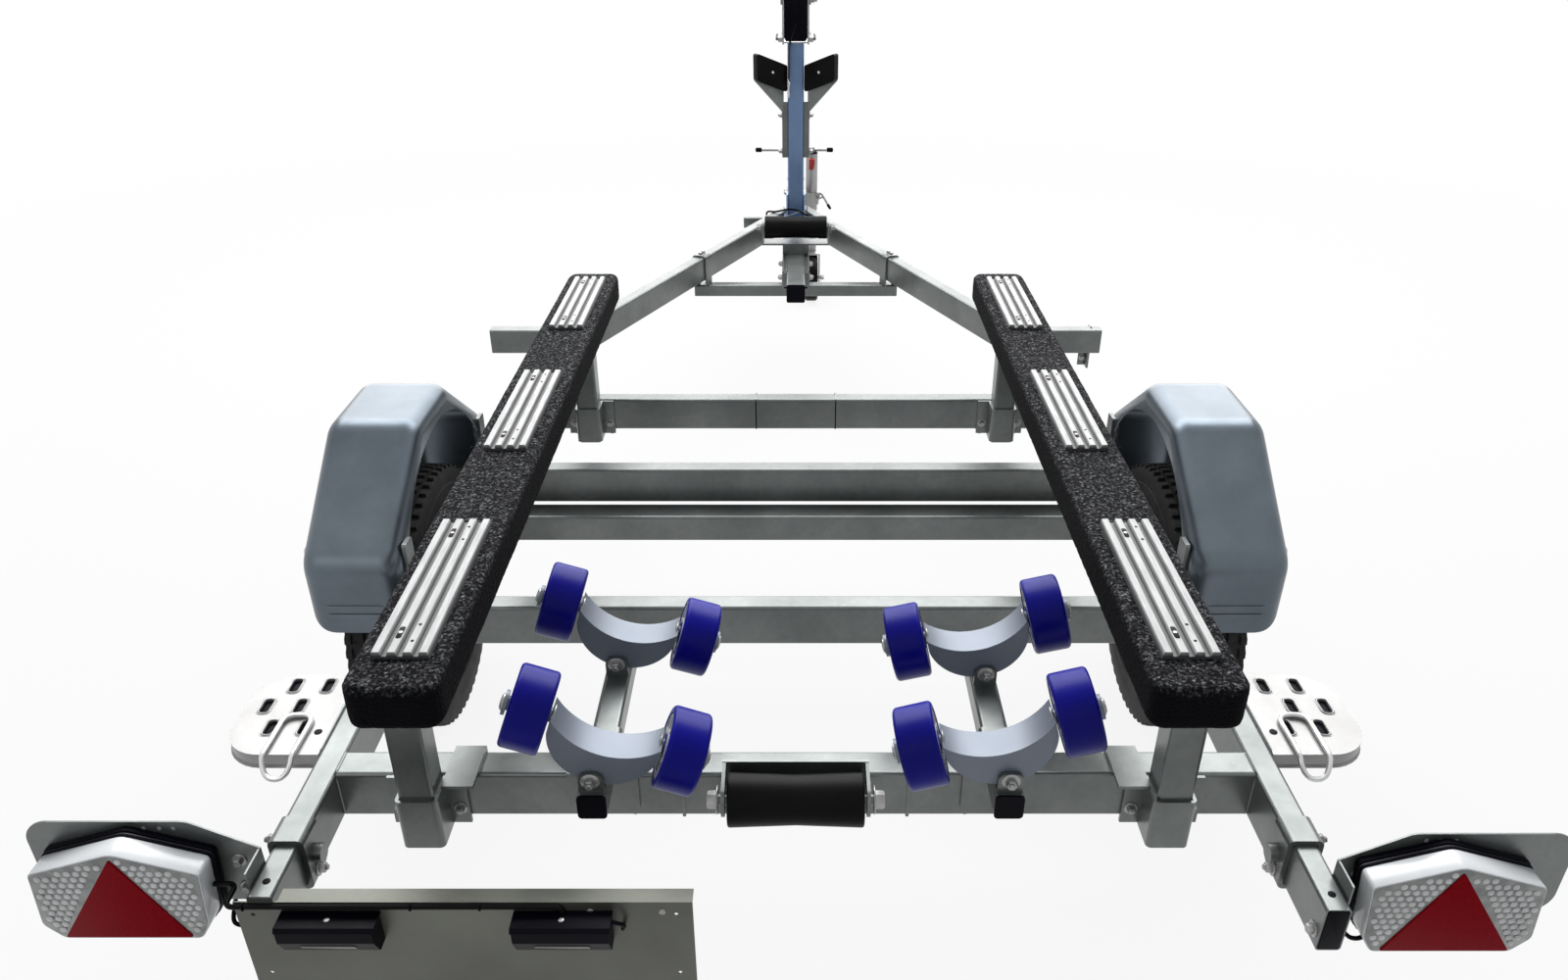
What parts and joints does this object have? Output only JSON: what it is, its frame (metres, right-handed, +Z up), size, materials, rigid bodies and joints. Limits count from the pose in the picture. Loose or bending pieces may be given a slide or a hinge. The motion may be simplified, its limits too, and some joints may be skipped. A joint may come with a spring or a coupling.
{
  "type": "boat trailer",
  "caption": "Galvanised single-axle boat trailer with carpeted bunks, swinging blue rollers, winch post, jockey wheel and pull-out lamps.",
  "frame": {"origin": "on the ground, on the centre plane, midway along the overall length, parked on its wheels and jockey wheel", "axes": "+X to the right seen from behind, +Y forward to the coupling, +Z up"},
  "size_m": [1.99, 4.093, 1.434],
  "materials": {
    "galvanised": "hot-dip galvanised, satin",
    "cradle_grey": "grey-blue coating",
    "wheel_silver": "silver paint",
    "tyre": "moulded rubber",
    "carpet": "looped marine carpet",
    "strip_grey": "grey extruded strip",
    "blue_roller": "blue moulded roller",
    "black_rubber": "black moulded rubber",
    "black_plastic": "black moulded plastic",
    "pale_plate": "pale zinc",
    "board_sheet": "bare sheet",
    "lamp_lens": "clear lens over lamps",
    "webbing": "woven strap",
    "zinc": "zinc-plated steel"
  },
  "bodies": {
    "chassis": {"side_rails": "galvanised", "drawbar_arms": "galvanised", "rear_beam": "galvanised", "cross_beams": "galvanised", "drawbar_channel": "galvanised", "drawbar_tube": "galvanised", "drawbar_cross_tube": "galvanised", "axle_beam": "galvanised", "swing_arms": "galvanised", "mudguard_left": "galvanised", "mudguard_right": "galvanised", "mudguard_brackets": "galvanised", "bunk_left": "carpet", "bunk_right": "carpet", "bunk_strips": "strip_grey", "bunk_posts": "galvanised", "beam_clamps": "galvanised", "roller_arms": "galvanised", "keel_brackets": "galvanised", "step_plates": "pale_plate", "rail_collars": "galvanised", "end_caps": "black_plastic", "winch_post": "galvanised", "bow_stop_bracket": "galvanised", "bow_pads": "black_rubber", "winch_frame": "zinc", "winch_strap": "webbing", "winch_crank": "zinc", "coupling_head": "zinc", "jockey_clamp": "zinc", "jockey_handle": "zinc"},
    "wheel_left": {"rim_left": "wheel_silver", "tyre_left": "tyre"},
    "wheel_right": {"rim_right": "wheel_silver", "tyre_right": "tyre"},
    "jockey_leg": {"jockey_leg": "zinc"},
    "jockey_fork": {"jockey_fork": "zinc"},
    "jockey_wheel": {"jockey_wheel": "black_rubber"},
    "keel_roller_rear": {"keel_roller_rear": "black_rubber"},
    "keel_roller_front": {"keel_roller_front": "black_rubber"},
    "cradle_rear_left": {"cradle_rear_left": "cradle_grey"},
    "roller_rear_left_outer": {"roller_rear_left_outer": "blue_roller"},
    "roller_rear_left_inner": {"roller_rear_left_inner": "blue_roller"},
    "cradle_rear_right": {"cradle_rear_right": "cradle_grey"},
    "roller_rear_right_outer": {"roller_rear_right_outer": "blue_roller"},
    "roller_rear_right_inner": {"roller_rear_right_inner": "blue_roller"},
    "cradle_front_left": {"cradle_front_left": "cradle_grey"},
    "roller_front_left_outer": {"roller_front_left_outer": "blue_roller"},
    "roller_front_left_inner": {"roller_front_left_inner": "blue_roller"},
    "cradle_front_right": {"cradle_front_right": "cradle_grey"},
    "roller_front_right_outer": {"roller_front_right_outer": "blue_roller"},
    "roller_front_right_inner": {"roller_front_right_inner": "blue_roller"},
    "lamp_carrier_left": {"lamp_carrier_left": "galvanised", "lamp_left": "lamp_lens", "plate_board": "board_sheet", "plate_lights": "black_plastic", "board_cable": "black_rubber"},
    "lamp_carrier_right": {"lamp_carrier_right": "galvanised", "lamp_right": "lamp_lens"}
  },
  "joints": [
    {"name": "wheel_left_spin", "type": "hinge", "parent": "chassis", "child": "wheel_left", "pos_m": [-0.797, -1.0035, 0.28], "axis": [1, 0, 0], "continuous": true},
    {"name": "wheel_right_spin", "type": "hinge", "parent": "chassis", "child": "wheel_right", "pos_m": [0.797, -1.0035, 0.28], "axis": [1, 0, 0], "continuous": true},
    {"name": "jockey_lift", "type": "slide", "parent": "chassis", "child": "jockey_leg", "axis": [0, 0, 1], "range_m": [-0.06, 0.145]},
    {"name": "jockey_swivel", "type": "hinge", "parent": "jockey_leg", "child": "jockey_fork", "pos_m": [0.066, 1.7465, 0.205], "axis": [0, 0, 1], "continuous": true},
    {"name": "jockey_wheel_spin", "type": "hinge", "parent": "jockey_fork", "child": "jockey_wheel", "pos_m": [0.066, 1.7105, 0.1], "axis": [1, 0, 0], "continuous": true},
    {"name": "keel_roller_rear_spin", "type": "hinge", "parent": "chassis", "child": "keel_roller_rear", "pos_m": [0, -1.841, 0.496], "axis": [1, 0, 0], "continuous": true},
    {"name": "keel_roller_front_spin", "type": "hinge", "parent": "chassis", "child": "keel_roller_front", "pos_m": [0, 0.8765, 0.5505], "axis": [1, 0, 0], "continuous": true},
    {"name": "cradle_rear_left_swing", "type": "hinge", "parent": "chassis", "child": "cradle_rear_left", "pos_m": [-0.277, -1.8415, 0.56], "axis": [0, 1, 0], "range_deg": [-35, 7]},
    {"name": "roller_rear_left_outer_spin", "type": "hinge", "parent": "cradle_rear_left", "child": "roller_rear_left_outer", "pos_m": [-0.35403, -1.8415, 0.65827], "axis": [0.9397, 0, -0.342], "continuous": true},
    {"name": "roller_rear_left_inner_spin", "type": "hinge", "parent": "cradle_rear_left", "child": "roller_rear_left_inner", "pos_m": [-0.15482, -1.8415, 0.58577], "axis": [0.9397, 0, -0.342], "continuous": true},
    {"name": "cradle_rear_right_swing", "type": "hinge", "parent": "chassis", "child": "cradle_rear_right", "pos_m": [0.29, -1.8415, 0.56], "axis": [0, 1, 0], "range_deg": [-11, 31]},
    {"name": "roller_rear_right_outer_spin", "type": "hinge", "parent": "cradle_rear_right", "child": "roller_rear_right_outer", "pos_m": [0.3737, -1.8415, 0.65266], "axis": [0.9613, 0, 0.2756], "continuous": true},
    {"name": "roller_rear_right_inner_spin", "type": "hinge", "parent": "cradle_rear_right", "child": "roller_rear_right_inner", "pos_m": [0.16991, -1.8415, 0.59423], "axis": [0.9613, 0, 0.2756], "continuous": true},
    {"name": "cradle_front_left_swing", "type": "hinge", "parent": "chassis", "child": "cradle_front_left", "pos_m": [-0.277, -1.5855, 0.56], "axis": [0, 1, 0], "range_deg": [-33, 9]},
    {"name": "roller_front_left_outer_spin", "type": "hinge", "parent": "cradle_front_left", "child": "roller_front_left_outer", "pos_m": [-0.35742, -1.5855, 0.65553], "axis": [0.9511, 0, -0.309], "continuous": true},
    {"name": "roller_front_left_inner_spin", "type": "hinge", "parent": "cradle_front_left", "child": "roller_front_left_inner", "pos_m": [-0.15579, -1.5855, 0.59001], "axis": [0.9511, 0, -0.309], "continuous": true},
    {"name": "cradle_front_right_swing", "type": "hinge", "parent": "chassis", "child": "cradle_front_right", "pos_m": [0.29, -1.6095, 0.56], "axis": [0, 1, 0], "range_deg": [-13, 29]},
    {"name": "roller_front_right_outer_spin", "type": "hinge", "parent": "cradle_front_right", "child": "roller_front_right_outer", "pos_m": [0.37689, -1.6095, 0.64968], "axis": [0.9703, 0, 0.2419], "continuous": true},
    {"name": "roller_front_right_inner_spin", "type": "hinge", "parent": "cradle_front_right", "child": "roller_front_right_inner", "pos_m": [0.17118, -1.6095, 0.5984], "axis": [0.9703, 0, 0.2419], "continuous": true},
    {"name": "lamp_carrier_left_slide", "type": "slide", "parent": "chassis", "child": "lamp_carrier_left", "axis": [0, -1, 0], "range_m": [-0.015, 0.2]},
    {"name": "lamp_carrier_right_slide", "type": "slide", "parent": "chassis", "child": "lamp_carrier_right", "axis": [0, -1, 0], "range_m": [-0.015, 0.2]}
  ]
}
